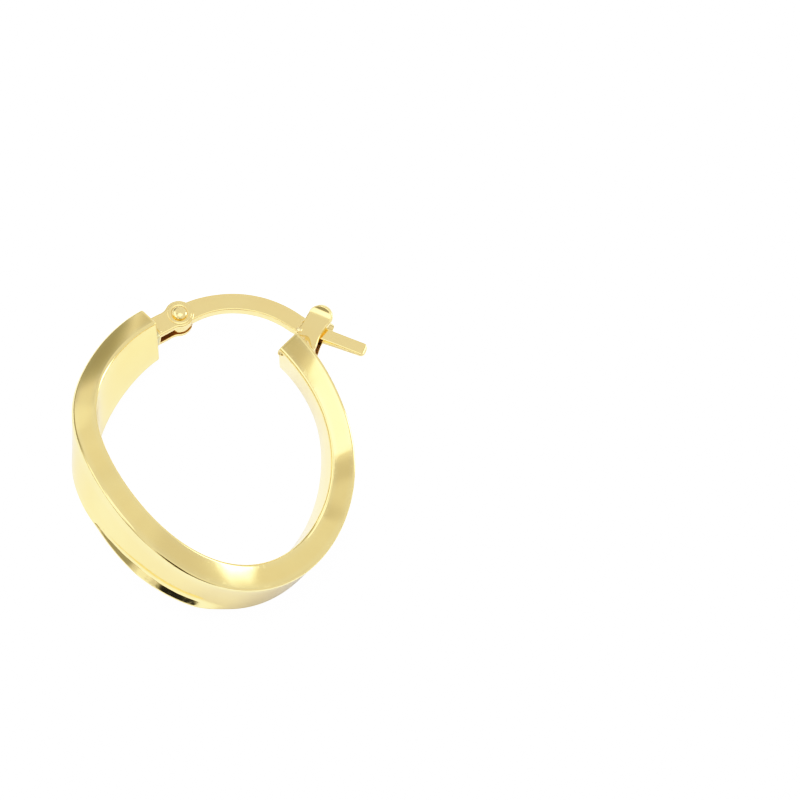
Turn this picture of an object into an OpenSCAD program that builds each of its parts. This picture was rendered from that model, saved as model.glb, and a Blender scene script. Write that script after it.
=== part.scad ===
// Oval hoop earring of twisted rectangular tube, lying on its side with the ear wire closed.
// The hoop, its hinge fork and its catch clip are soldered into one piece. The ear wire turns on a rivet
// through the fork, and its free end lies between the two prongs of the clip.
// Everything is drawn in the ear wire's own plane: X from the hinge to the catch, Y up towards the wire,
// Z along the rivet. The whole earring is then tipped so that it rests on the ground, where Z is up.

/* [Oval] */
// Width of the oval, measured between the middle lines of the tube
oval_width = 18.8; // [16:0.1:26]
// Height that the oval would have if it were closed at the top
oval_height = 19.6; // [17:0.1:27]
// How far the sides and shoulders are pushed out from a plain ellipse
shoulder = 0.3; // [0:0.05:0.6]
// How far the bottom and top are drawn in to square the oval
square_off = 0.6; // [0:0.05:0.8]
// How far the widest place sits below the middle
belly = 0.25; // [0:0.05:0.5]
// Angle from the bottom to the end of the tube at the hinge
hinge_end = 150.5; // [145:0.5:153]
// Angle from the bottom to the end of the tube at the catch
catch_end = 151; // [145:0.5:153]

/* [Twist] */
// How far one side swings behind the wire's plane, and the other side in front of it
swing = 2.1; // [0:0.05:2.5]
// How far the lower quarters swing beyond that
lower_swing = 1.35; // [0:0.05:1.8]
// How sharply the swing comes in near the bottom
swing_onset = 0.35; // [0:0.05:0.6]
// Lean of the tube's section in the quarters, one way on the left and the other way on the right
quarter_lean = 13; // [0:0.5:16]
// Lean that the whole tube shares
shared_lean = 4; // [0:0.5:6]
// Extra lean towards the ends of the tube
end_lean = 2.5; // [0:0.5:4]
// Small waves of the lean that come three times in a full turn
side_ripple = 1; // [0:0.25:1.5]
bottom_ripple = 2; // [0:0.25:2.5]

/* [Tube] */
// Depth of the tube, from the front face to the back face
tube_depth = 4.15; // [3:0.05:5]
// Thickness of the tube between its outer and inner walls, at the sides
tube_wall = 1.8; // [1.4:0.05:2.2]
// How much thicker the tube is at the bottom, as a part of the thickness
bottom_gain = 0.12; // [0:0.01:0.2]
// How much wider the tube grows at its ends, outwards at the hinge and inwards at the catch
end_flare = 0.1; // [0:0.05:0.35]
// Radius of the tube's long edges
edge_round = 0.22; // [0.1:0.01:0.3]

/* [Ear wire] */
// Depth of the flat wire, along the rivet
wire_depth = 0.7; // [0.7:0.05:1]
// Width of the wire where it passes through the ear
wire_width = 1.3; // [1:0.05:1.3]
// Width of the wire where it leaves the hinge
wire_root_width = 1.5; // [1.3:0.05:1.6]
// Width of the wire at its tip
wire_tip_width = 0.95; // [0.8:0.05:1.1]
// Length of the blunt round at the tip
tip_round = 0.35; // [0.2:0.05:0.45]
// Slope of the free end below the level, past the catch
tail_slope = 18; // [12:1:24]
// Length of the straight free end
tail_length = 4.35; // [3.4:0.05:4.8]
// Angle of the taper that thins the free end from behind
tail_taper = 5.5; // [0:0.5:6]
// Radius of the wire's round eye in the hinge
eye_radius = 0.98; // [0.9:0.01:0.98]

/* [Hinge] */
// Distance from the end of the tube to the rivet
fork_reach = 2.45; // [2.2:0.05:2.7]
// Radius of the fork's two round ears
ear_radius = 1.02; // [1:0.01:1.15]
// Thickness of each ear
ear_wall = 0.4; // [0.35:0.05:0.5]
// Width of the fork where it meets the tube
neck_width = 1.5; // [1.3:0.05:1.6]
// How far the fork's base plate stands out of the end of the tube
fork_plate = 0.25; // [0.2:0.05:0.35]
// Radius of the rivet's pin
pin_radius = 0.3; // [0.25:0.01:0.35]
// Radius of the rivet's domed heads
head_radius = 0.53; // [0.48:0.01:0.6]
// Height of the rivet's domed heads
head_height = 0.3; // [0.2:0.02:0.35]

/* [Catch] */
// How far past the end of the tube the wire's arc ends
arc_past = 1.2; // [1:0.05:1.4]
// How far outside the tube's middle line the wire's arc ends
arc_outside = 1.8; // [1.6:0.05:2]
// How far past the end of the wire's arc the clip stands
clip_past = 1.75; // [1.5:0.05:2]
// Angle by which the clip leans towards the free end
clip_lean = 6; // [0:0.5:8]
// Angle by which the clip is turned about its own height, its back prong towards the free end
clip_turn = 9; // [0:0.5:14]
// Width of the clip along the wire
clip_width = 1.8; // [1.5:0.05:2]
// Height of each prong above the middle of the wire
prong_height = 1.95; // [1.6:0.05:2.2]
// Thickness of the clip's sheet
clip_wall = 0.3; // [0.25:0.05:0.35]
// Height of the flared lip at the end of each prong
lip_height = 0.65; // [0.4:0.05:0.8]
// Angle by which each lip flares away from the wire
lip_flare = 42; // [10:1:45]
// Room under the wire inside the clip
clip_room = 0.9; // [0.3:0.05:0.95]

/* [Lying on its side] */
// Sideways tip of the wire's plane when the hoop rests on the ground
tip_sideways = 14.4; // [0:0.1:20]
// Endways tip of the wire's plane when the hoop rests on the ground
tip_endways = 0.4; // [-3:0.1:3]

/* [Hidden] */

GOLD = "#dcb96a";
BRIGHT_GOLD = "#e6c983";
SMOOTH = 48;

// Room between the flat faces of the wire and the metal on either side of it
side_play = 0.05;
// Radial room round the pin, in the ears and in the wire's eye
ear_play = 0.02;
eye_play = 0.04;
// Depths by which the fork's narrow foot and its wider neck run into the tube
solder_depth = 0.6;
neck_dip = 0.12;
foot_width = 0.8;

// Rings along the tube, and points round each corner of its section
RINGS = 108;
CORNER_STEPS = 3;

function unit(v) = v / norm(v);
function flat(v) = [v.x, v.y];
function turn(v, angle) = [v.x * cos(angle) - v.y * sin(angle), v.x * sin(angle) + v.y * cos(angle)];
function slope_of(v) = atan2(v.y, v.x);
function mix(a, b, t) = a + (b - a) * t;
function ease(t) = let (k = min(1, max(0, t))) k * k * (3 - 2 * k);

// Middle line of the tube. The angle is counted from the bottom, positive towards the catch.
function path_point(a) = [
    oval_width / 2 * sin(a) + shoulder * sin(3 * a),
    -oval_height / 2 * cos(a) + belly * cos(2 * a) - square_off * cos(3 * a),
    -swing * sin(a) - lower_swing * sin(2 * a) - swing_onset * sin(3 * a)
];
// The direction is taken over a short piece of the line, half of it on either side
half_step = 0.5;
function path_direction(a) = unit(path_point(a + half_step) - path_point(a - half_step));

// Lean of the section about the middle line, positive where the front edge leans inwards
function lean(a) = -shared_lean - quarter_lean * sin(2 * a) + end_lean * cos(2 * a)
    + side_ripple * sin(3 * a) - bottom_ripple * cos(3 * a);
// The ends grow wider from here on, over this many degrees
flare_start = 115;
flare_span = 30;
function flare_at(a) = end_flare * ease((abs(a) - flare_start) / flare_span);
function wall_at(a) = tube_wall * (1 + bottom_gain * cos(a)) + flare_at(a);

// Outline of the section, a rectangle with round corners: [outwards, forwards]
function section_outline(wide, deep) = [
    for (corner = [0:3], step = [0:CORNER_STEPS])
        let (
            angle = 90 * corner + 90 * step / CORNER_STEPS,
            side = [[1, 1], [-1, 1], [-1, -1], [1, -1]][corner]
        )
        [
            side.x * (wide / 2 - edge_round) + edge_round * cos(angle),
            side.y * (deep / 2 - edge_round) + edge_round * sin(angle)
        ]
];

// One ring of the tube at angle a
function tube_ring(a) =
    let (
        along = path_direction(a),
        outwards = unit(cross(along, [0, 0, 1])),
        forwards = cross(outwards, along),
        across = outwards * cos(lean(a)) + forwards * sin(lean(a)),
        through = forwards * cos(lean(a)) - outwards * sin(lean(a)),
        middle = path_point(a) - sign(a) * flare_at(a) / 2 * across
    )
    [for (p = section_outline(wall_at(a), tube_depth)) middle + p.x * across + p.y * through];

tube_rings = [for (i = [0:RINGS]) tube_ring(mix(-hinge_end, catch_end, i / RINGS))];
ring_size = len(tube_rings[0]);

// Hinge: the rivet stands in line with the end of the tube
hinge_root = flat(path_point(-hinge_end));
hinge_line = unit(-flat(path_direction(-hinge_end)));
rivet = hinge_root + fork_reach * hinge_line;
fork_half = wire_depth / 2 + side_play;

// Catch: the wire's arc ends outside the tube and a little past its end
catch_root = flat(path_point(catch_end));
catch_line = unit(flat(path_direction(catch_end)));
catch_outwards = turn(catch_line, -90);
arc_end = catch_root + arc_outside * catch_outwards + arc_past * catch_line;

// Wire: an arc that leaves the rivet in line with the tube, a short bend back, then a straight free end
arc_half_sweep = slope_of(hinge_line) - slope_of(arc_end - rivet);
arc_radius = norm(arc_end - rivet) / (2 * sin(arc_half_sweep));
arc_centre = rivet + arc_radius * turn(hinge_line, -90);
bend_radius = 5.5;
bend_start = slope_of(hinge_line) - 2 * arc_half_sweep;
bend_sweep = -tail_slope - bend_start;
bend_centre = arc_end + bend_radius * turn([1, 0], bend_start + 90);
arc_length = arc_radius * 2 * arc_half_sweep * PI / 180;
bend_length = bend_radius * bend_sweep * PI / 180;
wire_length = arc_length + bend_length + tail_length;

function wire_slope(s) =
    s < arc_length ? slope_of(hinge_line) - s / arc_radius * 180 / PI :
    s < arc_length + bend_length ? bend_start + (s - arc_length) / bend_radius * 180 / PI :
    -tail_slope;
function wire_point(s) =
    s < arc_length ? arc_centre + arc_radius * turn([1, 0], wire_slope(s) + 90) :
    s < arc_length + bend_length ? bend_centre + bend_radius * turn([1, 0], wire_slope(s) - 90) :
    bend_centre + bend_radius * turn([1, 0], -tail_slope - 90)
        + (s - arc_length - bend_length) * turn([1, 0], -tail_slope);
// Lengths over which the wire narrows from its root, and from its arc to its tip
root_length = 3.5;
tip_length = 3;
function wire_half_width(s) =
    mix(
        mix(wire_root_width, wire_width, ease(s / root_length)),
        wire_tip_width,
        ease((s - arc_length) / tip_length)
    ) / 2;

WIRE_STEPS = 60;
// The straight end stops short by the length of its round tip
function wire_edge(side) = [
    for (i = [0:WIRE_STEPS])
        let (s = i / WIRE_STEPS * (wire_length - tip_round))
        wire_point(s) + side * wire_half_width(s) * turn([1, 0], wire_slope(s) + 90)
];
TIP_STEPS = 10;
tip_edge = [
    for (i = [1:TIP_STEPS - 1])
        let (angle = 90 - 180 * i / TIP_STEPS)
        wire_point(wire_length - tip_round)
            + turn([tip_round * cos(angle), wire_tip_width / 2 * sin(angle)], -tail_slope)
];
wire_outline = concat(wire_edge(1), tip_edge, [for (i = [WIRE_STEPS:-1:0]) wire_edge(-1)[i]]);

clip_place = arc_length + clip_past;
clip_middle = wire_point(clip_place);
clip_slope = wire_slope(clip_place);
// The turned clip needs a wider slot for the wire to pass straight through
slot_half = (wire_depth / 2 + side_play) / cos(clip_turn) + clip_width / 2 * tan(clip_turn);
prong_round = clip_width / 2;
bend_line = prong_height - lip_height;
// Foot of the clip inside the tube, measured along and across the wire, and a level below all of it
clip_foot = [[-prong_round, -0.95], [-0.6, -1.5], [-0.3, -2.2], [prong_round, -2.6]];
foot_end = -3;
// Length of a cut that goes through the whole hinge
through = 4;

// How the earring lies: tipped about X and Y, then set on the ground with its box centred
function lay(p) =
    let (
        y = p.y * cos(tip_endways) - p.z * sin(tip_endways),
        z = p.y * sin(tip_endways) + p.z * cos(tip_endways)
    )
    [p.x * cos(tip_sideways) - z * sin(tip_sideways), y, p.x * sin(tip_sideways) + z * cos(tip_sideways)];
wire_reach = [
    for (edge = wire_outline, side = [-1, 1])
        lay([edge.x, edge.y, side * wire_depth / 2])
];
reach = concat([for (ring = tube_rings, p = ring) lay(p)], wire_reach);
low = [for (i = [0:2]) min([for (p = reach) p[i]])];
high = [for (i = [0:2]) max([for (p = reach) p[i]])];

module lying()
    translate([-(low.x + high.x) / 2, -(low.y + high.y) / 2, -low.z])
        rotate([tip_endways, -tip_sideways, 0])
            children();

// A flat piece of the given depth, centred on the wire's plane
module plate(depth)
    translate([0, 0, -depth / 2])
        linear_extrude(depth) children();

module tube()
    polyhedron(
        points = [for (ring = tube_rings) each ring],
        faces = concat(
            [[for (j = [ring_size - 1:-1:0]) j]],
            [for (i = [0:RINGS - 1], j = [0:ring_size - 1])
                let (
                    here = i * ring_size + j,
                    beside = i * ring_size + (j + 1) % ring_size
                )
                each [
                    [here, beside, here + ring_size],
                    [beside, beside + ring_size, here + ring_size]
                ]
            ],
            [[for (j = [0:ring_size - 1]) RINGS * ring_size + j]]
        )
    );

// Outline of an ear: round at the rivet, with a straight neck down to the tube's end
module ear_outline()
    translate(rivet) rotate(slope_of(hinge_line) + 180) {
        circle(ear_radius, $fn = SMOOTH);
        translate([0, -neck_width / 2]) square([fork_reach + neck_dip, neck_width]);
    }

module hinge_fork()
    difference() {
        union() {
            for (side = [-1, 1])
                translate([0, 0, side * (fork_half + ear_wall / 2)]) plate(ear_wall) ear_outline();
            plate(2 * (fork_half + ear_wall))
                translate(hinge_root) rotate(slope_of(hinge_line)) {
                    translate([-neck_dip, -neck_width / 2]) square([neck_dip + fork_plate, neck_width]);
                    translate([-solder_depth, -foot_width / 2]) square([solder_depth, foot_width]);
                }
        }
        translate([rivet.x, rivet.y, -through / 2])
            cylinder(h = through, r = pin_radius + ear_play, $fn = SMOOTH);
    }

// Outline of a prong, measured along and across the wire, with its foot inside the tube
module prong_outline() {
    translate([0, prong_height - prong_round]) circle(prong_round, $fn = SMOOTH);
    polygon([
        [-prong_round, prong_height - prong_round],
        each clip_foot,
        [prong_round, prong_height - prong_round]
    ]);
}

module band(from, to)
    translate([-prong_round - 1, from]) square([2 * prong_round + 2, to - from]);

module prong() {
    translate([0, 0, slot_half]) linear_extrude(clip_wall)
        intersection() {
            prong_outline();
            band(foot_end, bend_line);
        }
    translate([0, bend_line, slot_half]) rotate([lip_flare, 0, 0]) translate([0, -bend_line, 0])
        linear_extrude(clip_wall)
            intersection() {
                prong_outline();
                band(bend_line, prong_height);
            }
}

module catch_clip()
    translate([clip_middle.x, clip_middle.y, 0]) rotate(clip_slope - clip_lean) rotate([0, -clip_turn, 0]) {
        prong();
        mirror([0, 0, 1]) prong();
        plate(2 * (slot_half + clip_wall)) intersection() {
            prong_outline();
            band(foot_end, -wire_width / 2 - clip_room);
        }
    }

module hoop()
    color(GOLD) lying() {
        tube();
        hinge_fork();
        catch_clip();
    }

// The wedge taken off the back of the free end, from the clip to the tip: larger than the end all round
wedge = [8, 4, 2];
module tail_cut()
    translate([clip_middle.x, clip_middle.y, -wire_depth / 2])
        rotate([0, 0, -tail_slope])
            rotate([0, -tail_taper, 0])
                translate([0, -wedge.y / 2, -wedge.z])
                    cube(wedge);

module ear_wire()
    color(BRIGHT_GOLD) lying()
        difference() {
            union() {
                translate([rivet.x, rivet.y, -wire_depth / 2])
                    cylinder(h = wire_depth, r = eye_radius, $fn = SMOOTH);
                plate(wire_depth) polygon(wire_outline);
            }
            tail_cut();
            translate([rivet.x, rivet.y, -through / 2])
                cylinder(h = through, r = pin_radius + eye_play, $fn = SMOOTH);
        }

// Domed head of the rivet: a cap cut from a ball
module rivet_head() {
    ball = (head_radius * head_radius + head_height * head_height) / (2 * head_height);
    intersection() {
        translate([0, 0, head_height - ball]) sphere(ball, $fn = SMOOTH);
        cylinder(h = head_height, r = 2 * head_radius, $fn = SMOOTH);
    }
}

module hinge_rivet() {
    seat = fork_half + ear_wall + ear_play;
    color(BRIGHT_GOLD) lying() translate([rivet.x, rivet.y, 0]) {
        translate([0, 0, -seat]) cylinder(h = 2 * seat, r = pin_radius, $fn = SMOOTH);
        for (side = [0, 1])
            mirror([0, 0, side]) translate([0, 0, seat]) rivet_head();
    }
}

hoop();
hinge_rivet();
ear_wire();
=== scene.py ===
import math
import bmesh
import bpy
from mathutils import Matrix, Vector


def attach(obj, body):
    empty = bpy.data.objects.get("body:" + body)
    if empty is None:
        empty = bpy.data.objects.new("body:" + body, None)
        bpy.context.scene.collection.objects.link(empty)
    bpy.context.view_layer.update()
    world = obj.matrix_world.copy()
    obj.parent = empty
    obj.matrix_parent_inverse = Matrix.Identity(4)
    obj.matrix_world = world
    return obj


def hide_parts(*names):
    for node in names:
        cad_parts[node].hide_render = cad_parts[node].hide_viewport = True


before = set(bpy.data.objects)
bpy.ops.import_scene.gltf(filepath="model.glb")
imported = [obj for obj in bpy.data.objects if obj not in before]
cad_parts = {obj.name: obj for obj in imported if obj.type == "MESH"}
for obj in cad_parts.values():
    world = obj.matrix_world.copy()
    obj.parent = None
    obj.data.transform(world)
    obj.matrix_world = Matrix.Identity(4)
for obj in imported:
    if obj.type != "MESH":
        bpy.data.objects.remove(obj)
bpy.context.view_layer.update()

# The oval hoop earring, dressed for the picture. The tube comes from Geometry Nodes, and the fork, the
# clip, the ear wire, the rivet and the solder from mesh code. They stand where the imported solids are.
# Shapes are drawn as in the part's source: millimetres in the ear wire's own plane, X from the hinge to
# the catch, Y up towards the wire, Z along the rivet. toGround lays them on the floor, in metres.

scene = bpy.context.scene

lying = {
    "tipSideways": -14.4,                     # degrees
    "tipEndways": 0.4,
    "shift": (0.17152, -0.65208, 3.51007),    # mm, sets it on the floor with its box centred
}
toGround = (
    Matrix.Scale(0.001, 4)
    @ Matrix.Translation(lying["shift"])
    @ Matrix.Rotation(math.radians(lying["tipSideways"]), 4, "Y")
    @ Matrix.Rotation(math.radians(lying["tipEndways"]), 4, "X")
)
print("stage: the packed frame is loaded")


# A socket of a node tree. Sums written on it add Math nodes, and node() adds any other node.
class Flow:
    def __init__(self, tree, socket=None):
        self.tree = tree
        self.socket = socket

    def node(self, kind, settings=None, sockets=None, out=0):
        made = self.tree.nodes.new(kind)
        for name, value in (settings or {}).items():
            setattr(made, name, value)
        for name, value in (sockets or {}).items():
            if isinstance(value, Flow):
                self.tree.links.new(value.socket, made.inputs[name])
            else:
                made.inputs[name].default_value = value
        return Flow(self.tree, None if out is None else made.outputs[out])

    def math(self, operation, *others):
        sockets = {0: self}
        for place, other in enumerate(others):
            sockets[place + 1] = other
        return self.node("ShaderNodeMath", {"operation": operation}, sockets)

    def __add__(self, other):
        return self.math("ADD", other)

    def __mul__(self, other):
        return self.math("MULTIPLY", other)

    def __sub__(self, other):
        return self.math("SUBTRACT", other)

    def __rsub__(self, other):
        return self.node("ShaderNodeMath", {"operation": "SUBTRACT"}, {0: other, 1: self})

    def __truediv__(self, other):
        return self.math("DIVIDE", other)

    def __neg__(self):
        return self.math("MULTIPLY", -1.0)

    __radd__ = __add__
    __rmul__ = __mul__

    def sine(self):
        return self.math("SINE")

    def cosine(self):
        return self.math("COSINE")

    def held(self, low, high):
        return self.math("MAXIMUM", low).math("MINIMUM", high)

    def eased(self):
        part = self.held(0.0, 1.0)
        return part * part * (3.0 - 2.0 * part)

    def vector(self, operation, other=None, out=0):
        sockets = {0: self}
        if operation == "SCALE":
            sockets["Scale"] = other
        elif other is not None:
            sockets[1] = other
        return self.node("ShaderNodeVectorMath", {"operation": operation}, sockets, out)

    def point(self, x, y, z):
        return self.node("ShaderNodeCombineXYZ", None, {0: x, 1: y, 2: z})


tube = {
    "width": 18.8,            # of the oval, between the middle lines of the tube
    "height": 19.6,
    "shoulder": 0.3,          # pushes the sides and shoulders out
    "squareOff": 0.6,         # draws the bottom and top in
    "belly": 0.25,
    "swing": 2.1,             # one side swings back, the other forward
    "lowerSwing": 1.35,
    "swingOnset": 0.35,
    "quarterLean": 13.0,      # degrees that the section leans
    "sharedLean": 4.0,
    "endLean": 2.5,
    "sideRipple": 1.0,
    "bottomRipple": 2.0,
    "hingeEnd": 150.5,        # degrees from the bottom
    "catchEnd": 151.0,
    "depth": 4.15,
    "wall": 1.8,
    "bottomGain": 0.12,
    "endFlare": 0.1,
    "flareFrom": 115.0,
    "flareOver": 30.0,
    "edgeRound": 0.22,
    "endRound": 0.13,
    "faceCrown": 0.004,       # how far the front and back bulge
    "leftCrown": 0.014,       # and how much more they do on the hinge side
    "leftCrownFrom": 60.0,    # degrees
    "leftCrownOver": 40.0,
    "outerCrown": -0.02,      # how far the outer wall bulges; below zero it is hollow
    "innerCrown": 0.04,
    "dentAt": -20.0,          # here the outer wall is a little hollow and turns up by its back edge
    "dentHalf": 22.0,         # degrees
    "dentFade": 13.0,
    "dentSink": 0.2,
    "dentWide": 0.5,          # width of what turns up
    "dentTaper": 0.62,        # how much narrower that is towards the hinge side
    "dentSlope": 0.8,         # its rise against its width
    "dentUntil": 0.885,       # where it ends, as a part of the way from the middle to the back edge
    "wornAt": -17.0,          # here the edge between the front and the outer wall is worn flatter
    "wornFlat": 0.6,
    "wornHalf": 3.0,          # degrees
    "wornFade": 8.0,
    "catchFlare": 0.14,       # widens the outer side towards the catch end
    "catchFlareFrom": 118.0,
    "hingeDip": 0.035,        # how far the ends dip back, and over what length
    "hingeReach": 1.5,
    "catchDip": 0.055,
    "catchReach": 2.4,
}


def middleLine(angle):
    a = math.radians(angle)
    return Vector((
        tube["width"] / 2 * math.sin(a) + tube["shoulder"] * math.sin(3 * a),
        -tube["height"] / 2 * math.cos(a) + tube["belly"] * math.cos(2 * a)
        - tube["squareOff"] * math.cos(3 * a),
        -tube["swing"] * math.sin(a) - tube["lowerSwing"] * math.sin(2 * a)
        - tube["swingOnset"] * math.sin(3 * a),
    ))


def lineDirection(angle):
    return (middleLine(angle + 0.5) - middleLine(angle - 0.5)).normalized()


def flat(v):
    return Vector((v.x, v.y))


# A place on the tube: outwards and forwards from its middle line
def tubePlace(angle, outwards, forwards):
    a = math.radians(angle)
    lean = math.radians(
        tube["endLean"] * math.cos(2 * a) - tube["sharedLean"] - tube["quarterLean"] * math.sin(2 * a)
        + tube["sideRipple"] * math.sin(3 * a) - tube["bottomRipple"] * math.cos(3 * a)
    )
    flare = tube["endFlare"] * eased((abs(angle) - tube["flareFrom"]) / tube["flareOver"])
    onward = lineDirection(angle)
    out = onward.cross(Vector((0, 0, 1))).normalized()
    front = out.cross(onward)
    across = out * math.cos(lean) + front * math.sin(lean)
    through = front * math.cos(lean) - out * math.sin(lean)
    catchSide = (angle - tube["catchFlareFrom"]) / (tube["catchEnd"] - tube["catchFlareFrom"])
    widening = tube["catchFlare"] * eased(catchSide)
    wall = tube["wall"] * (1 + tube["bottomGain"] * math.cos(a)) + flare + widening
    centre = middleLine(angle) + across * ((widening - math.copysign(flare, angle)) / 2)
    return centre + across * (outwards * wall / 2) + through * forwards


def turned(v, angle):
    c = math.cos(math.radians(angle))
    s = math.sin(math.radians(angle))
    return Vector((v[0] * c - v[1] * s, v[0] * s + v[1] * c))


def slopeOf(v):
    return math.degrees(math.atan2(v.y, v.x))


def mixed(a, b, part):
    return a + (b - a) * part


def eased(part):
    k = min(1.0, max(0.0, part))
    return k * k * (3 - 2 * k)


hinge = {
    "reach": 2.45,            # from the end of the tube to the rivet
    "earRadius": 1.05,
    "earEdge": 0.09,          # radius of its rim
    "collar": (0.58, 0.87),   # a low ring round the rivet's head
    "collarHeight": 0.045,
    "collarSunk": 0.05,       # how deep its foot lies in the ear
    "collarFlat": 0.4,        # below 1 its top is blunter than a circle
    "neckShift": 0.16,        # the neck meets the tube off its middle
    "earWall": 0.4,
    "neckWidth": 1.56,
    "sidePlay": 0.05,
    "earPlay": 0.02,
    "plate": 0.4,             # the fork's floor stands this far out of the tube
    "neckLeaves": 58.0,       # degrees round the ear where its outline leaves the circle
    "neckFrom": 1.45,         # from the rivet to where the neck runs straight,
    "neckPull": 0.9,          # and how strongly the curve is drawn along it
    "neckTo": 2.2,            # here it begins to spread to its foot
    "footDepth": 0.12,        # the foot goes this far into the tube
    "footSpread": 0.03,
    "shiftFrom": 0.3,
    "softEdge": 0.04,
    "pinRadius": 0.3,
    "headRadius": 0.53,
    "headHeight": 0.26,
    "headFoot": 0.07,         # the dome begins this far above the ear
    "headRim": ((0.05, 0.0), (0.015, 0.015), (0.0, 0.045)),    # in from its radius, and up
    "headBlunt": (0.8, 1.1),
}
earWire = {
    "depth": 0.7,
    "width": 1.3,
    "rootWidth": 1.5,
    "rootFade": 3.5,          # length over which it narrows from its root
    "rootFrom": 0.5,          # its sides leave the round eye with the width that they have here
    "rootGap": 0.06,
    "tipWidth": 0.95,
    "tipFade": 3.0,
    "tipRound": 0.35,
    "tipBlunt": (0.7, 0.8),   # below 1 the tip is blunter than a half circle
    "tailSlope": 18.0,
    "tailLength": 4.35,
    "tailTaper": 5.5,
    "eyeRadius": 0.98,
    "eyePlay": 0.04,
    "bendRadius": 5.5,
    "edge": 0.07,             # radius of its long edges
    "tipDome": 0.3,           # length of the rounding at the tip
    "tipThin": 0.3,           # what is left of its depth at the very end
    "darkEye": 0.8,           # its eye's faces are painted with shade up to here
    "lies": -0.045,           # off the middle of the fork's slot
}
catch = {
    "arcPast": 1.2,
    "arcOutside": 1.8,
    "clipPast": 1.75,
    "lean": 6.0,
    "turn": 9.0,
    "width": 1.8,
    "height": 1.95,
    "wall": 0.3,
    "lipHeight": 0.65,
    "lipFlare": 50.0,
    "lipCurl": 1.0,           # how much of the prong the curl takes
    "room": 0.9,
    "waist": 0.17,            # how far the side towards the free end draws in
    "waistFrom": -1.7,
    "footBack": -0.95,        # its foot slants down through the tube's wall
    "footSlant": ((-0.6, -1.5), (-0.3, -2.2)),
    "footFront": -2.6,
    "plateEdge": 0.09,        # radius of its rim
    "softEdge": 0.035,
    "darkCuts": 7,            # cuts across the slot's walls, to carry the painted shade
    "darkReach": 1.3,         # the painted shade is full this far in from the slot's openings
    "darkBelow": -0.5,        # and from here down to its floor, over this length, this much of it
    "darkBelowOver": 0.4,
    "darkBelowPart": 0.7,
    "bendCuts": 24,
    "bendCutSpan": 1.15,      # length of the prong that they divide
}

hingeRoot = flat(middleLine(-tube["hingeEnd"]))
hingeLine = -flat(lineDirection(-tube["hingeEnd"])).normalized()
rivetPlace = hingeRoot + hinge["reach"] * hingeLine
forkHalf = earWire["depth"] / 2 + hinge["sidePlay"]

catchRoot = flat(middleLine(tube["catchEnd"]))
catchLine = flat(lineDirection(tube["catchEnd"])).normalized()
arcEnd = catchRoot + catch["arcOutside"] * turned(catchLine, -90) + catch["arcPast"] * catchLine
halfSweep = slopeOf(hingeLine) - slopeOf(arcEnd - rivetPlace)
arcRadius = (arcEnd - rivetPlace).length / (2 * math.sin(math.radians(halfSweep)))
arcCentre = rivetPlace + arcRadius * turned(hingeLine, -90)
bendStart = slopeOf(hingeLine) - 2 * halfSweep
bendCentre = arcEnd + earWire["bendRadius"] * turned((1, 0), bendStart + 90)
arcLength = arcRadius * math.radians(2 * halfSweep)
bendLength = earWire["bendRadius"] * math.radians(-earWire["tailSlope"] - bendStart)
wireLength = arcLength + bendLength + earWire["tailLength"]


# The wire's direction, place and half width at a length s from the rivet
def wireSlope(s):
    if s < arcLength:
        return slopeOf(hingeLine) - math.degrees(s / arcRadius)
    if s < arcLength + bendLength:
        return bendStart + math.degrees((s - arcLength) / earWire["bendRadius"])
    return -earWire["tailSlope"]


def wirePoint(s):
    slope = wireSlope(s)
    if s < arcLength:
        return arcCentre + arcRadius * turned((1, 0), slope + 90)
    straight = max(0.0, s - arcLength - bendLength)
    return (bendCentre + earWire["bendRadius"] * turned((1, 0), slope - 90)
            + straight * turned((1, 0), slope))


def wireHalfWidth(s):
    body = mixed(earWire["rootWidth"], earWire["width"], eased(s / earWire["rootFade"]))
    return mixed(body, earWire["tipWidth"], eased((s - arcLength) / earWire["tipFade"])) / 2


clipAt = arcLength + catch["clipPast"]
clipMiddle = wirePoint(clipAt)
clipTurn = math.radians(catch["turn"])
slotHalf = forkHalf / math.cos(clipTurn) + catch["width"] / 2 * math.tan(clipTurn)
clipPlace = (
    Matrix.Translation((clipMiddle.x, clipMiddle.y, 0))
    @ Matrix.Rotation(math.radians(wireSlope(clipAt) - catch["lean"]), 4, "Z")
    @ Matrix.Rotation(-clipTurn, 4, "Y")
)
forkPlace = (
    Matrix.Translation((rivetPlace.x, rivetPlace.y, 0))
    @ Matrix.Rotation(math.radians(slopeOf(hingeLine) + 180), 4, "Z")
)

photoView = {
    "pitch": -26.81,          # turns from the wire's plane to the picture, degrees
    "yaw": 4.305,
    "roll": -3.316,
    "aside": (13.285, 3.621),  # mm from the middle of the picture to the hoop's centre
    "away": 442.0,
    "lens": 281.4,
    "sensor": 36.0,
    "nearest": 0.01,          # metres
    "farthest": 20.0,
}
towards = (
    Matrix.Rotation(math.radians(photoView["roll"]), 4, "Z")
    @ Matrix.Rotation(math.radians(photoView["pitch"]), 4, "X")
    @ Matrix.Rotation(math.radians(photoView["yaw"]), 4, "Y")
).transposed()
standing = towards @ Matrix.Translation((*photoView["aside"], photoView["away"]))
lens = bpy.data.cameras.new("photoCamera")
lens.lens = photoView["lens"]
lens.sensor_width = photoView["sensor"]
lens.clip_start = photoView["nearest"]
lens.clip_end = photoView["farthest"]
camera = bpy.data.objects.new("photoCamera", lens)
camera.location = (toGround @ standing).to_translation()
camera.rotation_mode = "QUATERNION"
camera.rotation_quaternion = (toGround @ standing).to_quaternion()
scene.collection.objects.link(camera)
scene.camera = camera
print("stage: the camera stands at the photograph's angle")

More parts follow.
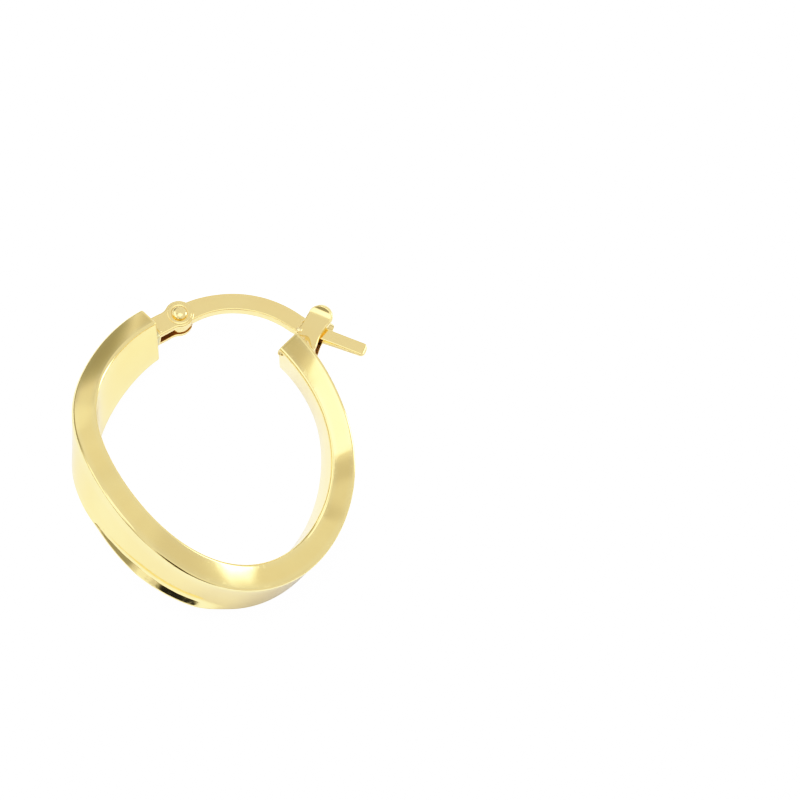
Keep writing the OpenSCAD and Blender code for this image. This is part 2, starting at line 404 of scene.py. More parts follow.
# Directions are azimuth and elevation in degrees, azimuth 0 towards -Y and 90 towards +X.
studio = {
    "tent": 0.80,             # brightness of the white tent all round
    "tentFolds": 0.10,        # how much it varies
    "foldScale": 4.0,
    "horizonDark": 0.10,      # the gap between the tent and the table
    "horizonReach": 7.0,      # degrees above the floor
    "floorTone": (0.85, 0.88, 0.97),    # cool white paper
    "floorRough": 0.9,
    "floorShine": 0.1,
    "whiteOut": 1.25,         # the picture's background is overexposed
    "whitePart": 0.85,
    "floorSize": 3.0,
}
# Places of the tent that are darker or brighter, soft at their edges
patches = [
    {"at": (-140.0, 16.0), "inner": 11.0, "outer": 19.5, "bright": 0.37},
    {"at": (-162.0, 33.0), "inner": 2.0, "outer": 8.0, "bright": 0.62},
    {"at": (-159.0, 16.0), "inner": 1.0, "outer": 6.0, "bright": 0.42},
    {"at": (-43.0, 9.0), "inner": 16.0, "outer": 24.0, "bright": 0.36},
    {"at": (-9.0, 9.0), "inner": 7.0, "outer": 10.0, "bright": 1.0},
    {"at": (4.0, 22.0), "inner": 9.0, "outer": 14.0, "bright": 0.04},
    {"at": (20.0, 10.0), "inner": 12.0, "outer": 17.0, "bright": 0.03},
    {"at": (-121.0, 60.5), "inner": 2.0, "outer": 6.3, "bright": 0.54},
    {"at": (113.0, 52.0), "inner": 3.0, "outer": 12.0, "bright": 0.70},
    {"at": (21.0, 79.5), "inner": 0.0, "outer": 4.0, "bright": 0.64},
    {"at": (-168.0, 22.0), "inner": 1.0, "outer": 5.0, "bright": 0.92},
    {"at": (120.0, 32.0), "inner": 5.0, "outer": 10.0, "bright": 2.6},
]
softboxes = {
    # at, distance in metres, half width and half height in degrees, brightness that it adds
    "overheadSoftbox": {"at": (-120.0, 80.8), "far": 0.8, "half": (14.0, 13.2), "bright": 0.70},
    "rightCard": {"at": (113.0, 21.8), "far": 0.8, "half": (11.5, 17.1), "bright": 2.0},
    "leftCard": {"at": (-85.0, 42.0), "far": 0.8, "half": (30.0, 12.0), "bright": 0.7},
}
# The lamp that lights the floor from the hinge side; the metal doesn't mirror it
floorLamp = {"at": (-92.0, 65.0), "far": 1.0, "half": (13.0, 13.0), "bright": 7.0}
# The picture's tone curve: straight up to three quarters, then a soft shoulder to pure white
toneCurve = [
    (0.0, 0.0), (0.06, 0.035), (0.13, 0.095), (0.25, 0.232), (0.5, 0.5), (0.75, 0.76), (0.9, 0.885),
    (1.0, 0.945), (1.1, 0.985), (1.2, 1.0), (2.0, 1.0),
]
whiteFrom = 1.15    # past this the curve runs straight, at pure white


def along(azimuth, elevation):
    a = math.radians(azimuth)
    e = math.radians(elevation)
    return Vector((math.sin(a) * math.cos(e), -math.cos(a) * math.cos(e), math.sin(e)))


def softLight(name, numbers):
    lamp = bpy.data.lights.new(name, "AREA")
    lamp.shape = "RECTANGLE"
    lamp.size, lamp.size_y = [2 * numbers["far"] * math.tan(math.radians(h)) for h in numbers["half"]]
    lamp.energy = numbers["bright"] * math.pi * lamp.size * lamp.size_y
    lit = bpy.data.objects.new(name, lamp)
    toLamp = along(*numbers["at"])
    lit.location = toLamp * numbers["far"]
    lit.rotation_mode = "QUATERNION"
    lit.rotation_quaternion = toLamp.to_track_quat("Z", "Y")
    lit.visible_camera = False
    scene.collection.objects.link(lit)
    return lit


for name, numbers in softboxes.items():
    softLight(name, numbers)
softLight("floorLamp", floorLamp).visible_glossy = False

world = bpy.data.worlds.new("tent")
scene.world = world
world.use_nodes = True
sky = Flow(world.node_tree)
facing = sky.node("ShaderNodeTexCoord", out="Generated")
rise = facing.vector("DOT_PRODUCT", (0.0, 0.0, 1.0), "Value")
aboveHorizon = (rise / math.sin(math.radians(studio["horizonReach"]))).eased()
tent = studio["horizonDark"] + aboveHorizon * (studio["tent"] - studio["horizonDark"])
folds = sky.node(
    "ShaderNodeTexNoise", None,
    {"Vector": facing, "Scale": studio["foldScale"], "Detail": 2.0},
)
tent = tent * (1.0 + (folds - 0.5) * (2.0 * studio["tentFolds"]))
for patch in patches:
    nearness = facing.vector("DOT_PRODUCT", tuple(along(*patch["at"])), "Value")
    edge = math.cos(math.radians(patch["outer"]))
    core = math.cos(math.radians(patch["inner"]))
    inPatch = ((nearness - edge) / (core - edge)).eased()
    tent = tent + inPatch * (patch["bright"] - tent)
seen = sky.node("ShaderNodeLightPath", out="Is Camera Ray")
tent = tent + seen * (studio["whiteOut"] - tent)
world.node_tree.links.new(tent.socket, world.node_tree.nodes["Background"].inputs["Strength"])
world.node_tree.nodes["Background"].inputs["Color"].default_value = (1.0, 1.0, 1.0, 1.0)

floorMesh = bpy.data.meshes.new("floor")
floorShape = bmesh.new()
bmesh.ops.create_circle(floorShape, cap_ends=True, segments=96, radius=studio["floorSize"])
floorShape.to_mesh(floorMesh)
floorShape.free()
floor = bpy.data.objects.new("floor", floorMesh)
scene.collection.objects.link(floor)
paper = bpy.data.materials.new("whitePaper")
paper.use_nodes = True
paper.node_tree.nodes.clear()
sheet = Flow(paper.node_tree)
matt = sheet.node(
    "ShaderNodeBsdfPrincipled", None,
    {"Base Color": (*studio["floorTone"], 1.0), "Roughness": studio["floorRough"],
     "Specular IOR Level": studio["floorShine"]}, "BSDF",
)
white = sheet.node("ShaderNodeEmission", None, {"Strength": studio["whiteOut"]})
cameraRay = sheet.node("ShaderNodeLightPath", out="Is Camera Ray")
shown = sheet.node("ShaderNodeMixShader", None, {0: cameraRay * studio["whitePart"], 1: matt, 2: white})
sheet.node("ShaderNodeOutputMaterial", None, {"Surface": shown}, None)
floorMesh.materials.append(paper)

scene.view_settings.view_transform = "Standard"
scene.view_settings.look = "None"
scene.view_settings.use_curve_mapping = True
tone = scene.view_settings.curve_mapping
brightest = toneCurve[-1][0]
tone.white_level = (brightest,) * 3
curve = tone.curves[3]
while len(curve.points) < len(toneCurve):
    curve.points.new(0.5, 0.5)
for spot, (before, after) in zip(curve.points, toneCurve):
    spot.location = (before / brightest, after)
    spot.handle_type = "VECTOR" if before > whiteFrom else "AUTO"
tone.extend = "HORIZONTAL"
tone.update()
print("stage: floor and light")

# The colour, the roughness, how much the wear shows and how uneven the surface is
goldFinishes = {
    "polishedGold": {"tint": (1.0, 0.805, 0.36), "rough": 0.05, "marks": 0.35, "ripple": 0.5},
    "wireGold": {"tint": (1.0, 0.80, 0.38), "rough": 0.09, "marks": 0.5, "ripple": 0.6},
    "rivetGold": {"tint": (1.0, 0.81, 0.39), "rough": 0.07, "marks": 0.3, "ripple": 0.3},
    "forkGold": {"tint": (1.0, 0.80, 0.38), "rough": 0.10, "marks": 0.5, "ripple": 0.7},
    "solderGold": {"tint": (0.96, 0.80, 0.44), "rough": 0.24, "marks": 0.2, "ripple": 2.0},
    "seamGold": {"tint": (0.74, 0.69, 0.40), "rough": 0.26, "marks": 0.2, "ripple": 2.0},
}
# Wear that all the finishes share: noise scales per metre, and how far each mark roughens and dents. It
# also holds painted light: shade painted in the slots and a highlight painted on the edges.
wearAndPaintedLight = {
    "cloudScale": 260.0,
    "cloudRough": 0.04,
    "grainScale": 2600.0,
    "grainRough": 0.02,
    "grainHeight": 0.006,
    "swellScale": 420.0,
    # turn, stretch, scale and width of two sets of fine scratches
    "scratches": (
        ((0.3, 0.2, 0.6), (1.0, 14.0, 14.0), 420.0, 0.012),
        ((1.1, 0.9, 2.0), (1.0, 11.0, 11.0), 520.0, 0.01),
    ),
    "scratchRough": 0.25,
    "scratchDepth": 0.015,
    "patchScale": 330.0,      # scratches come in patches
    "patchFrom": 0.45,
    "patchOver": 0.3,
    "nickScale": 3100.0,      # nicks sit on the tube's edges
    "nickFrom": 0.56,
    "nickOver": 0.1,
    "nickRough": 0.08,
    "nickDepth": 0.02,
    "reliefUnit": 0.00003,    # metres, the height of 1 in the bump
    "recessRough": 0.4,
    "slotShadeTint": (0.47, 0.23, 0.055, 1.0),    # painted shade: the brown that stands for the shade in the slots
    # the edges are painted paler: partly rubbed wear, partly a painted highlight
    "edgePale": 0.5,
}


def goldFinish(name, look):
    material = bpy.data.materials.new(name)
    material.use_nodes = True
    tree = material.node_tree
    tree.nodes.clear()
    start = Flow(tree)
    place = start.node("ShaderNodeTexCoord", out="Object")

    def noise(scale, detail=3.0, source=None):
        return start.node(
            "ShaderNodeTexNoise", None,
            {"Vector": source or place, "Scale": scale, "Detail": detail},
        )

    def marks(turn, stretch, scale, width):
        laid = start.node(
            "ShaderNodeMapping", None,
            {"Vector": place, "Rotation": turn, "Scale": stretch},
        )
        lines = noise(scale, 2.0, laid)
        return 1.0 - ((lines - 0.5).math("ABSOLUTE") / width).held(0.0, 1.0)

    def someOf(pattern, low, span):
        return (pattern - low).held(0.0, span) / span

    cloud = noise(wearAndPaintedLight["cloudScale"])
    grain = noise(wearAndPaintedLight["grainScale"], 4.0)
    swell = noise(wearAndPaintedLight["swellScale"], 1.0)
    scuffs, crossing = [marks(*scratch) for scratch in wearAndPaintedLight["scratches"]]
    patchy = someOf(noise(wearAndPaintedLight["patchScale"], 2.0), wearAndPaintedLight["patchFrom"], wearAndPaintedLight["patchOver"])
    scuffs = scuffs.math("MAXIMUM", crossing) * patchy

    # marks laid on the mesh: 1 on the tube's edges, which are worn and painted paler as a highlight, and
    # 1 inside the slots, which are roughened and painted with shade
    rimWearAndSheen = start.node("ShaderNodeAttribute", {"attribute_name": "rimWearAndSheen"}, None, "Fac")
    slotRoughAndShade = start.node("ShaderNodeAttribute", {"attribute_name": "slotRoughAndShade"}, None, "Fac")
    nicks = rimWearAndSheen * someOf(noise(wearAndPaintedLight["nickScale"], 1.0), wearAndPaintedLight["nickFrom"], wearAndPaintedLight["nickOver"])

    # the colour varies a little from place to place; the edges are painted paler as a highlight, and the
    # slots are painted with shade
    tint = look["tint"]
    pale = (tint[0], tint[1] * 1.03, tint[2] * 1.08, 1.0)
    deep = (tint[0] * 0.985, tint[1] * 0.95, tint[2] * 0.9, 1.0)
    rubbedAndSheen = (1.0, tint[1] * 1.05, tint[2] * 1.2, 1.0)    # edges are rubbed paler, partly a painted highlight
    colour = deep
    for part, over in ((cloud, pale), (rimWearAndSheen * wearAndPaintedLight["edgePale"], rubbedAndSheen), (slotRoughAndShade, wearAndPaintedLight["slotShadeTint"])):
        colour = start.node("ShaderNodeMix", {"data_type": "RGBA"}, {0: part, 6: colour, 7: over}, 2)
    rough = (
        look["rough"] + cloud * wearAndPaintedLight["cloudRough"] + scuffs * (wearAndPaintedLight["scratchRough"] * look["marks"])
        + grain * wearAndPaintedLight["grainRough"] + slotRoughAndShade * wearAndPaintedLight["recessRough"] + nicks * wearAndPaintedLight["nickRough"]
    )
    height = (
        swell * look["ripple"] + grain * wearAndPaintedLight["grainHeight"]
        - scuffs * (wearAndPaintedLight["scratchDepth"] * look["marks"]) - nicks * wearAndPaintedLight["nickDepth"]
    )
    bump = start.node(
        "ShaderNodeBump", None,
        {"Height": height, "Strength": 1.0, "Distance": wearAndPaintedLight["reliefUnit"]}, "Normal",
    )
    shader = start.node(
        "ShaderNodeBsdfPrincipled", None,
        {"Base Color": colour, "Metallic": 1.0, "Roughness": rough, "Normal": bump,
         "Specular Tint": (1.0, 0.99, 0.96, 1.0)}, "BSDF",
    )
    start.node("ShaderNodeOutputMaterial", None, {"Surface": shader}, None)
    return material


gold = {name: goldFinish(name, look) for name, look in goldFinishes.items()}
print("stage: gold finishes")


def linked(name, mesh, material):
    made = bpy.data.objects.new(name, mesh)
    scene.collection.objects.link(made)
    mesh.materials.append(material)
    return made


# The evaluated object as a plain mesh, without its modifiers
def baked(made):
    name = made.name
    graph = bpy.context.evaluated_depsgraph_get()
    mesh = bpy.data.meshes.new_from_object(made.evaluated_get(graph))
    used = made.data
    bpy.data.objects.remove(made)
    bpy.data.meshes.remove(used)
    mesh.name = name
    done = bpy.data.objects.new(name, mesh)
    scene.collection.objects.link(done)
    return done


# Lays a finished piece on the ground, hangs it on its body, hides the imported solid that it stands in
# for and prints its size
def settle(made, body, node):
    made.data.transform(toGround)
    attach(made, body)
    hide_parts(node)
    print("piece:", made.name, len(made.data.polygons), "faces")


tubeMesh = {
    "rings": 460,             # sections along the tube
    "cornerSteps": 7,
    "sideSteps": 26,
    "endSteps": 6,
    "capInset": 0.12,         # mm, a narrow ring that keeps the shading of the flat ends flat
    "leastRound": 0.02,       # what is left of the corners' radius there
    "aboutRadius": 10.0,      # of the oval, to turn the small lengths at its ends into degrees
    "rimFade": 4.0,           # the worn rim, painted paler as a highlight, fades out over a quarter of each side
    "stepGuard": 0.001,       # keeps a whole step from being rounded down
}


def tubeTree(numbers, mesh, material):
    tree = bpy.data.node_groups.new("twistedTube", "GeometryNodeTree")
    for name in numbers:
        tree.interface.new_socket(name, in_out="INPUT", socket_type="NodeSocketFloat")
    tree.interface.new_socket("tube", in_out="OUTPUT", socket_type="NodeSocketGeometry")
    entry = tree.nodes.new("NodeGroupInput")
    given = {name: Flow(tree, entry.outputs[name]) for name in numbers}
    start = Flow(tree)

    quarter = mesh["cornerSteps"] + mesh["sideSteps"]
    around = 4 * quarter
    rings, ends = mesh["rings"], mesh["endSteps"]
    rad = math.pi / 180
    perDegree = rad * mesh["aboutRadius"]

    index = start.node("GeometryNodeInputIndex")
    ring = (index / around + mesh["stepGuard"]).math("FLOOR")
    step = index - ring * around

    # how far along the tube, with a few rings at each end for its rounded edge
    firstAngle = given["endRound"] * (1 / perDegree) - given["hingeEnd"]
    lastAngle = given["catchEnd"] - given["endRound"] * (1 / perDegree)
    part = ((ring - ends) / (rings - 2 * ends)).held(0.0, 1.0)
    angle = firstAngle + part * (lastAngle - firstAngle)
    fromHinge = (ring - 1) / (ends - 1)
    fromCatch = (rings - 1 - ring) / (ends - 1)
    rounding = fromHinge.math("MINIMUM", fromCatch).held(0.0, 1.0) * (math.pi / 2)
    capRing = fromHinge.math("MINIMUM", fromCatch).math("LESS_THAN", -0.01)
    inset = given["endRound"] * (1.0 - rounding.sine()) + capRing * mesh["capInset"]
    beyond = given["endRound"] * rounding.cosine() * (ring - rings / 2).math("SIGN")

    def middle(turn):
        a = turn * rad
        return start.point(
            given["width"] * 0.5 * a.sine() + given["shoulder"] * (a * 3).sine(),
            given["belly"] * (a * 2).cosine() - given["height"] * 0.5 * a.cosine()
            - given["squareOff"] * (a * 3).cosine(),
            -(given["swing"] * a.sine() + given["lowerSwing"] * (a * 2).sine()
              + given["swingOnset"] * (a * 3).sine()),
        )

    a = angle * rad
    lean = (
        given["endLean"] * (a * 2).cosine() - given["sharedLean"] - given["quarterLean"] * (a * 2).sine()
        + given["sideRipple"] * (a * 3).sine() - given["bottomRipple"] * (a * 3).cosine()
    ) * rad
    flare = given["endFlare"] * (
        (angle.math("ABSOLUTE") - given["flareFrom"]) / given["flareOver"]).eased()
    catchSide = (angle - given["catchFlareFrom"]) / (given["catchEnd"] - given["catchFlareFrom"])
    widening = given["catchFlare"] * catchSide.eased()
    wall = given["wall"] * (1.0 + given["bottomGain"] * a.cosine()) + flare + widening

    centre = middle(angle)
    onward = middle(angle + 0.5).vector("SUBTRACT", middle(angle - 0.5)).vector("NORMALIZE")
    outward = onward.vector("CROSS_PRODUCT", (0.0, 0.0, 1.0)).vector("NORMALIZE")
    forward = outward.vector("CROSS_PRODUCT", onward)
    across = outward.vector("SCALE", lean.cosine()).vector("ADD", forward.vector("SCALE", lean.sine()))
    through = forward.vector("SCALE", lean.cosine()).vector(
        "SUBTRACT", outward.vector("SCALE", lean.sine()))

    # the section: a rectangle with round corners and slightly full faces
    halfWall = wall * 0.5 - inset
    halfDepth = given["depth"] * 0.5 - inset
    corner = (step / quarter + mesh["stepGuard"]).math("FLOOR")
    local = step - corner * quarter
    arc = (local.math("MINIMUM", mesh["cornerSteps"]) / mesh["cornerSteps"] + corner) * (math.pi / 2)
    side = ((local - mesh["cornerSteps"]).math("MAXIMUM", 0.0) / mesh["sideSteps"]).eased()

    def cornerSign(which, wave):
        turn = (which + 0.5) * (math.pi / 2)
        return (turn.cosine() if wave == "x" else turn.sine()).math("SIGN")

    radius = (given["edgeRound"] - inset).math("MAXIMUM", mesh["leastRound"])
    signX = cornerSign(corner, "x") * (1.0 - side) + cornerSign(corner + 1, "x") * side
    signY = cornerSign(corner, "y") * (1.0 - side) + cornerSign(corner + 1, "y") * side

    # the edge between the front and the outer wall, the first corner, goes flatter where it is worn
    offWorn = (angle - given["wornAt"]).math("ABSOLUTE")
    worn = (1.0 + (given["wornHalf"] - offWorn) / given["wornFade"]).eased()
    worn = worn * corner.math("LESS_THAN", 0.5)
    worn = worn * local.math("LESS_THAN", mesh["cornerSteps"] + 0.5) * given["wornFlat"]
    chord = (local / mesh["cornerSteps"]).held(0.0, 1.0)
    x = signX * (halfWall - radius) + radius * (arc.cosine() + worn * (1.0 - chord - arc.cosine()))
    y = signY * (halfDepth - radius) + radius * (arc.sine() + worn * (chord - arc.sine()))
    fullX = 1.0 - (y / halfDepth) * (y / halfDepth)
    fullY = 1.0 - (x / halfWall) * (x / halfWall)
    towardsOuter = (x / halfWall).held(0.0, 1.0)
    towardsInner = (-x / halfWall).held(0.0, 1.0)
    bulgedX = x + fullX * (towardsOuter * given["outerCrown"] - towardsInner * given["innerCrown"])

    # the outer wall sinks a little at the bottom, and turns up by its back edge
    offDent = (angle - given["dentAt"]).math("ABSOLUTE")
    inDent = (1.0 + (given["dentHalf"] - offDent) / given["dentFade"]).eased()
    toHinge = ((given["dentAt"] - angle) / given["dentHalf"]).held(0.0, 1.0)
    turnWide = given["dentWide"] * (1.0 - given["dentTaper"] * toHinge)
    toBack = -y / halfDepth
    turnFrom = given["dentUntil"] - turnWide / halfDepth
    sunk = ((1.0 + toBack) / (1.0 + turnFrom)).held(0.0, 1.0) * given["dentSink"]
    turnUp = ((toBack - turnFrom) * halfDepth).math("MAXIMUM", 0.0).math("MINIMUM", turnWide)
    bulgedX = bulgedX + towardsOuter * inDent * (turnUp * given["dentSlope"] - sunk)

    # the front and back bulge more on the hinge side, and dip back at both ends
    onLeft = ((-angle - given["leftCrownFrom"]) / given["leftCrownOver"]).eased()
    crown = given["faceCrown"] + given["leftCrown"] * onLeft
    bulgedY = y * (1.0 + crown * fullY / halfDepth)
    toHingeEnd = (angle + given["hingeEnd"]) * perDegree
    toCatchEnd = (given["catchEnd"] - angle) * perDegree
    ending = (1.0 - toHingeEnd / given["hingeReach"]).held(0.0, 1.0)
    bulgedY = bulgedY - given["hingeDip"] * ending * ending
    ending = (1.0 - toCatchEnd / given["catchReach"]).held(0.0, 1.0)
    bulgedY = bulgedY - given["catchDip"] * ending * ending

    sideways = (widening - angle.math("SIGN") * flare) * 0.5
    shifted = centre.vector("ADD", across.vector("SCALE", sideways))
    place = shifted.vector("ADD", across.vector("SCALE", bulgedX))
    place = place.vector("ADD", through.vector("SCALE", bulgedY))
    place = place.vector("ADD", onward.vector("SCALE", beyond))
    # the rim of each corner, where the edges are worn and painted paler as a highlight
    fade = mesh["rimFade"]
    rimWearAndSheen = 1.0 - (side * fade).held(0.0, 1.0) * ((1.0 - side) * fade).held(0.0, 1.0)

    form = start.node(
        "GeometryNodeMeshCylinder", {"fill_type": "NGON"},
        {"Vertices": around, "Side Segments": rings, "Radius": 1.0, "Depth": 1.0}, "Mesh",
    )
    form = start.node("GeometryNodeSetPosition", None, {"Geometry": form, "Position": place})
    form = start.node(
        "GeometryNodeStoreNamedAttribute", {"data_type": "FLOAT", "domain": "POINT"},
        {"Geometry": form, "Name": "rimWearAndSheen", "Value": rimWearAndSheen},
    )
    form = start.node("GeometryNodeSetShadeSmooth", None, {"Geometry": form, "Shade Smooth": True})
    form = start.node("GeometryNodeRealizeInstances", None, {"Geometry": form})
    form = start.node("GeometryNodeSetMaterial", None, {"Geometry": form, "Material": material})
    tree.links.new(form.socket, tree.nodes.new("NodeGroupOutput").inputs["tube"])
    return tree


# Runs a node tree with its inputs set, and keeps the result as a plain mesh
def madeByNodes(name, tree, numbers):
    seed = bpy.data.objects.new(name, bpy.data.meshes.new(name))
    modifier = seed.modifiers.new("shape", "NODES")
    modifier.node_group = tree
    for item in tree.interface.items_tree:
        if item.in_out == "INPUT" and item.name in numbers:
            modifier[item.identifier] = float(numbers[item.name])
    scene.collection.objects.link(seed)
    return baked(seed)


twistedTube = madeByNodes("twistedTube", tubeTree(tube, tubeMesh, gold["polishedGold"]), tube)
settle(twistedTube, "hoop", "hoop")
print("stage: the tube")


# Corners of an outline moved inwards, so that its sides keep their distance
def insetRing(ring, amount):
    moved = []
    for i, here in enumerate(ring):
        before, after = ring[i - 1], ring[(i + 1) % len(ring)]
        first = (here - before).normalized()
        second = (after - here).normalized()
        inward = turned(first + second, 90)
        inward.normalize()
        spread = max(0.35, inward.dot(turned(first, 90)))    # so that sharp corners stay near
        moved.append(here + inward * (amount / spread))
    return moved


flatRim = 0.03    # mm, a narrow ring that keeps the shading of a plate's face flat
nearby = 0.001    # mm, how far off a face still counts as being in its place


# A plate from an outline that runs anticlockwise, with holes that run clockwise
def roundedPlate(outline, low, high, edge, steps=4, holes=()):
    made = bmesh.new()
    profile = [(edge + flatRim, low)]
    for i in range(steps + 1):
        angle = math.pi / 2 * i / steps
        profile.append((edge * (1 - math.sin(angle)), low + edge * (1 - math.cos(angle))))
    profile += [(inset, low + high - z) for inset, z in reversed(profile)]
    caps = {0: [], len(profile) - 1: []}
    for loop in [outline, *holes]:
        rows = []
        for level, (inset, z) in enumerate(profile):
            ring = insetRing(loop, inset)
            row = [made.verts.new((p.x, p.y, z)) for p in ring]
            rows.append(row)
            if level in caps:
                caps[level] += [
                    made.edges.new((row[i - 1], row[i])) for i in range(len(row))
                ]
        for lower, upper in zip(rows, rows[1:]):
            for i in range(len(lower)):
                made.faces.new((lower[i - 1], lower[i], upper[i], upper[i - 1]))
    for edges in caps.values():
        if holes:
            bmesh.ops.triangle_fill(made, use_beauty=True, use_dissolve=False, edges=edges)
        else:
            bmesh.ops.contextual_create(made, geom=edges)
    bmesh.ops.recalc_face_normals(made, faces=made.faces[:])
    return made


def meshFrom(name, shape):
    mesh = bpy.data.meshes.new(name)
    shape.to_mesh(mesh)
    shape.free()
    return mesh


# A round hole's outline, clockwise
def holeRing(centre, radius, count=40):
    return [
        Vector((centre[0] + radius * math.cos(2 * math.pi * i / count),
                centre[1] - radius * math.sin(2 * math.pi * i / count)))
        for i in range(count)
    ]


def smoothByAngle(mesh, angle=50.0):
    mesh.shade_smooth()
    mesh.set_sharp_from_angle(angle=math.radians(angle))


# A box that cuts a slot. Its open sides lie well past the piece.
def boxCutter(name, low, high):
    made = bmesh.new()
    bmesh.ops.create_cube(made, size=1.0)
    for v in made.verts:
        v.co = Vector([mixed(a, b, c + 0.5) for a, b, c in zip(low, high, v.co)])
    return linked(name, meshFrom(name, made), gold["forkGold"])


# Divides the faces along a plane, and leaves both sides
def cutThrough(shape, spot, way):
    bmesh.ops.bisect_plane(
        shape, geom=shape.verts[:] + shape.edges[:] + shape.faces[:], dist=1e-5,
        plane_co=(*spot, 0), plane_no=(*way, 0),
    )


def cutAway(made, cutter):
    cut = made.modifiers.new("slot", "BOOLEAN")
    cut.operation = "DIFFERENCE"
    cut.solver = "EXACT"
    cut.object = cutter
    done = baked(made)
    bpy.data.objects.remove(cutter)
    return done


# Marks the faces whose corners all pass the test, for the material to roughen and paint with shade
def markSlotShade(mesh, inside):
    mark = mesh.attributes.new("slotRoughAndShade", "FLOAT", "FACE")
    for face in mesh.polygons:
        within = all(inside(mesh.vertices[i].co) for i in face.vertices)
        mark.data[face.index].value = 1.0 if within else 0.0


# Small round edges, with the shading of the flat faces kept flat
def softened(made, width, segments=2, limit=32.0):
    bevel = made.modifiers.new("soft edges", "BEVEL")
    bevel.width = width
    bevel.segments = segments
    bevel.limit_method = "ANGLE"
    bevel.angle_limit = math.radians(limit)
    done = baked(made)
    smoothByAngle(done.data)
    even = done.modifiers.new("even normals", "WEIGHTED_NORMAL")
    even.keep_sharp = True
    return baked(done)


# The fork from the side: a round ear and a neck that runs into the tube
def earOutline():
    radius, neck = hinge["earRadius"], hinge["neckWidth"] / 2
    leaves = math.radians(hinge["neckLeaves"])
    upper = []
    for i in range(25):
        angle = math.radians(mixed(180, hinge["neckLeaves"], i / 24))
        upper.append(Vector((radius * math.cos(angle), radius * math.sin(angle))))
    # a smooth curve from the circle to the straight neck
    start, slope = upper[-1], Vector((math.sin(leaves), -math.cos(leaves)))
    finish, pull = Vector((hinge["neckFrom"], neck)), Vector((hinge["neckPull"], 0))
    for i in range(1, 9):
        t = i / 8
        a, b, c, d = 2 * t**3 - 3 * t**2 + 1, t**3 - 2 * t**2 + t, 3 * t**2 - 2 * t**3, t**3 - t**2
        upper.append(a * start + b * slope + c * finish + d * pull)
    upper.append(Vector((hinge["neckTo"], neck)))
    upper.append(Vector((hinge["reach"] + hinge["footDepth"], neck + hinge["footSpread"])))
    lower = [Vector((p.x, -p.y)) for p in reversed(upper[1:])]
    ring = [
        Vector((p.x, p.y - hinge["neckShift"] * eased((p.x - hinge["shiftFrom"]) / hinge["reach"])))
        for p in upper + lower
    ]
    return list(reversed(ring))


forkDepth = forkHalf + hinge["earWall"]
fork = roundedPlate(
    earOutline(), -forkDepth, forkDepth, hinge["earEdge"],
    holes=[holeRing((0, 0), hinge["pinRadius"] + hinge["earPlay"])],
)
hingeFork = linked("hingeFork", meshFrom("hingeFork", fork), gold["forkGold"])
slotEnd = hinge["reach"] - hinge["plate"]
hingeFork = cutAway(hingeFork, boxCutter("forkSlot", (-3, -3, -forkHalf), (slotEnd, 3, forkHalf)))
# the slot's faces get painted shade
markSlotShade(hingeFork.data, lambda at: abs(at.z) < forkHalf + nearby and at.x < slotEnd + nearby)
hingeFork = softened(hingeFork, hinge["softEdge"])
hingeFork.data.transform(forkPlace)
settle(hingeFork, "hoop", "hoop")
print("stage: the hinge fork")


# A profile of (radius, z), turned round Z
def revolved(profile, count, closed=False):
    made = bmesh.new()
    rows = []
    for radius, z in profile:
        if radius < 1e-6:
            rows.append([made.verts.new((0, 0, z))])
        else:
            rows.append([
                made.verts.new((radius * math.cos(2 * math.pi * i / count),
                                radius * math.sin(2 * math.pi * i / count), z))
                for i in range(count)
            ])
    pairs = list(zip(rows, rows[1:]))
    if closed:
        pairs.append((rows[-1], rows[0]))
    for lower, upper in pairs:
        for i in range(count):
            corners = [lower[i - 1 if len(lower) > 1 else 0], lower[i if len(lower) > 1 else 0],
                       upper[i if len(upper) > 1 else 0], upper[i - 1 if len(upper) > 1 else 0]]
            corners = [c for k, c in enumerate(corners) if c not in corners[:k]]
            made.faces.new(corners)
    bmesh.ops.recalc_face_normals(made, faces=made.faces[:])
    return made


# The collar's section, from its inner foot over the top to its outer foot
def collarProfile():
    inner, outer = hinge["collar"]
    middle, half = (inner + outer) / 2, (outer - inner) / 2
    foot = forkDepth - hinge["collarSunk"]
    profile = [(inner, foot)]
    for i in range(13):
        angle = math.pi * i / 12
        flattened = math.copysign(abs(math.cos(angle)) ** hinge["collarFlat"], math.cos(angle))
        profile.append((middle - half * flattened, forkDepth + hinge["collarHeight"] * math.sin(angle)))
    return profile + [(outer, foot)]


for way, side in ((1, "front"), (-1, "back")):
    profile = [(r, way * z) for r, z in collarProfile()]
    name = side + "Collar"
    collar = linked(name, meshFrom(name, revolved(profile, 64, True)), gold["forkGold"])
    smoothByAngle(collar.data)
    collar.data.transform(Matrix.Translation((rivetPlace.x, rivetPlace.y, 0)))
    settle(collar, "hoop", "hoop")


# The rivet from its back head to its front head, in (radius, z)
def rivetProfile():
    seat = forkHalf + hinge["earWall"] + hinge["earPlay"]
    radius, height, foot = hinge["headRadius"], hinge["headHeight"], hinge["headFoot"]
    wide, tall = hinge["headBlunt"]
    head = [(hinge["pinRadius"], seat)] + [(radius - back, seat + up) for back, up in hinge["headRim"]]
    for i in range(1, 15):
        t = math.pi / 2 * i / 14
        head.append((radius * max(0.0, math.cos(t)) ** wide,
                     seat + foot + (height - foot) * math.sin(t) ** tall))
    head[-1] = (0.0, seat + height)
    return [(r, -z) for r, z in reversed(head)] + head


hingeRivet = linked("hingeRivet", meshFrom("hingeRivet", revolved(rivetProfile(), 56)), gold["rivetGold"])
smoothByAngle(hingeRivet.data)
hingeRivet.data.transform(Matrix.Translation((rivetPlace.x, rivetPlace.y, 0)))
settle(hingeRivet, "hoop", "hinge_rivet")
print("stage: the rivet")


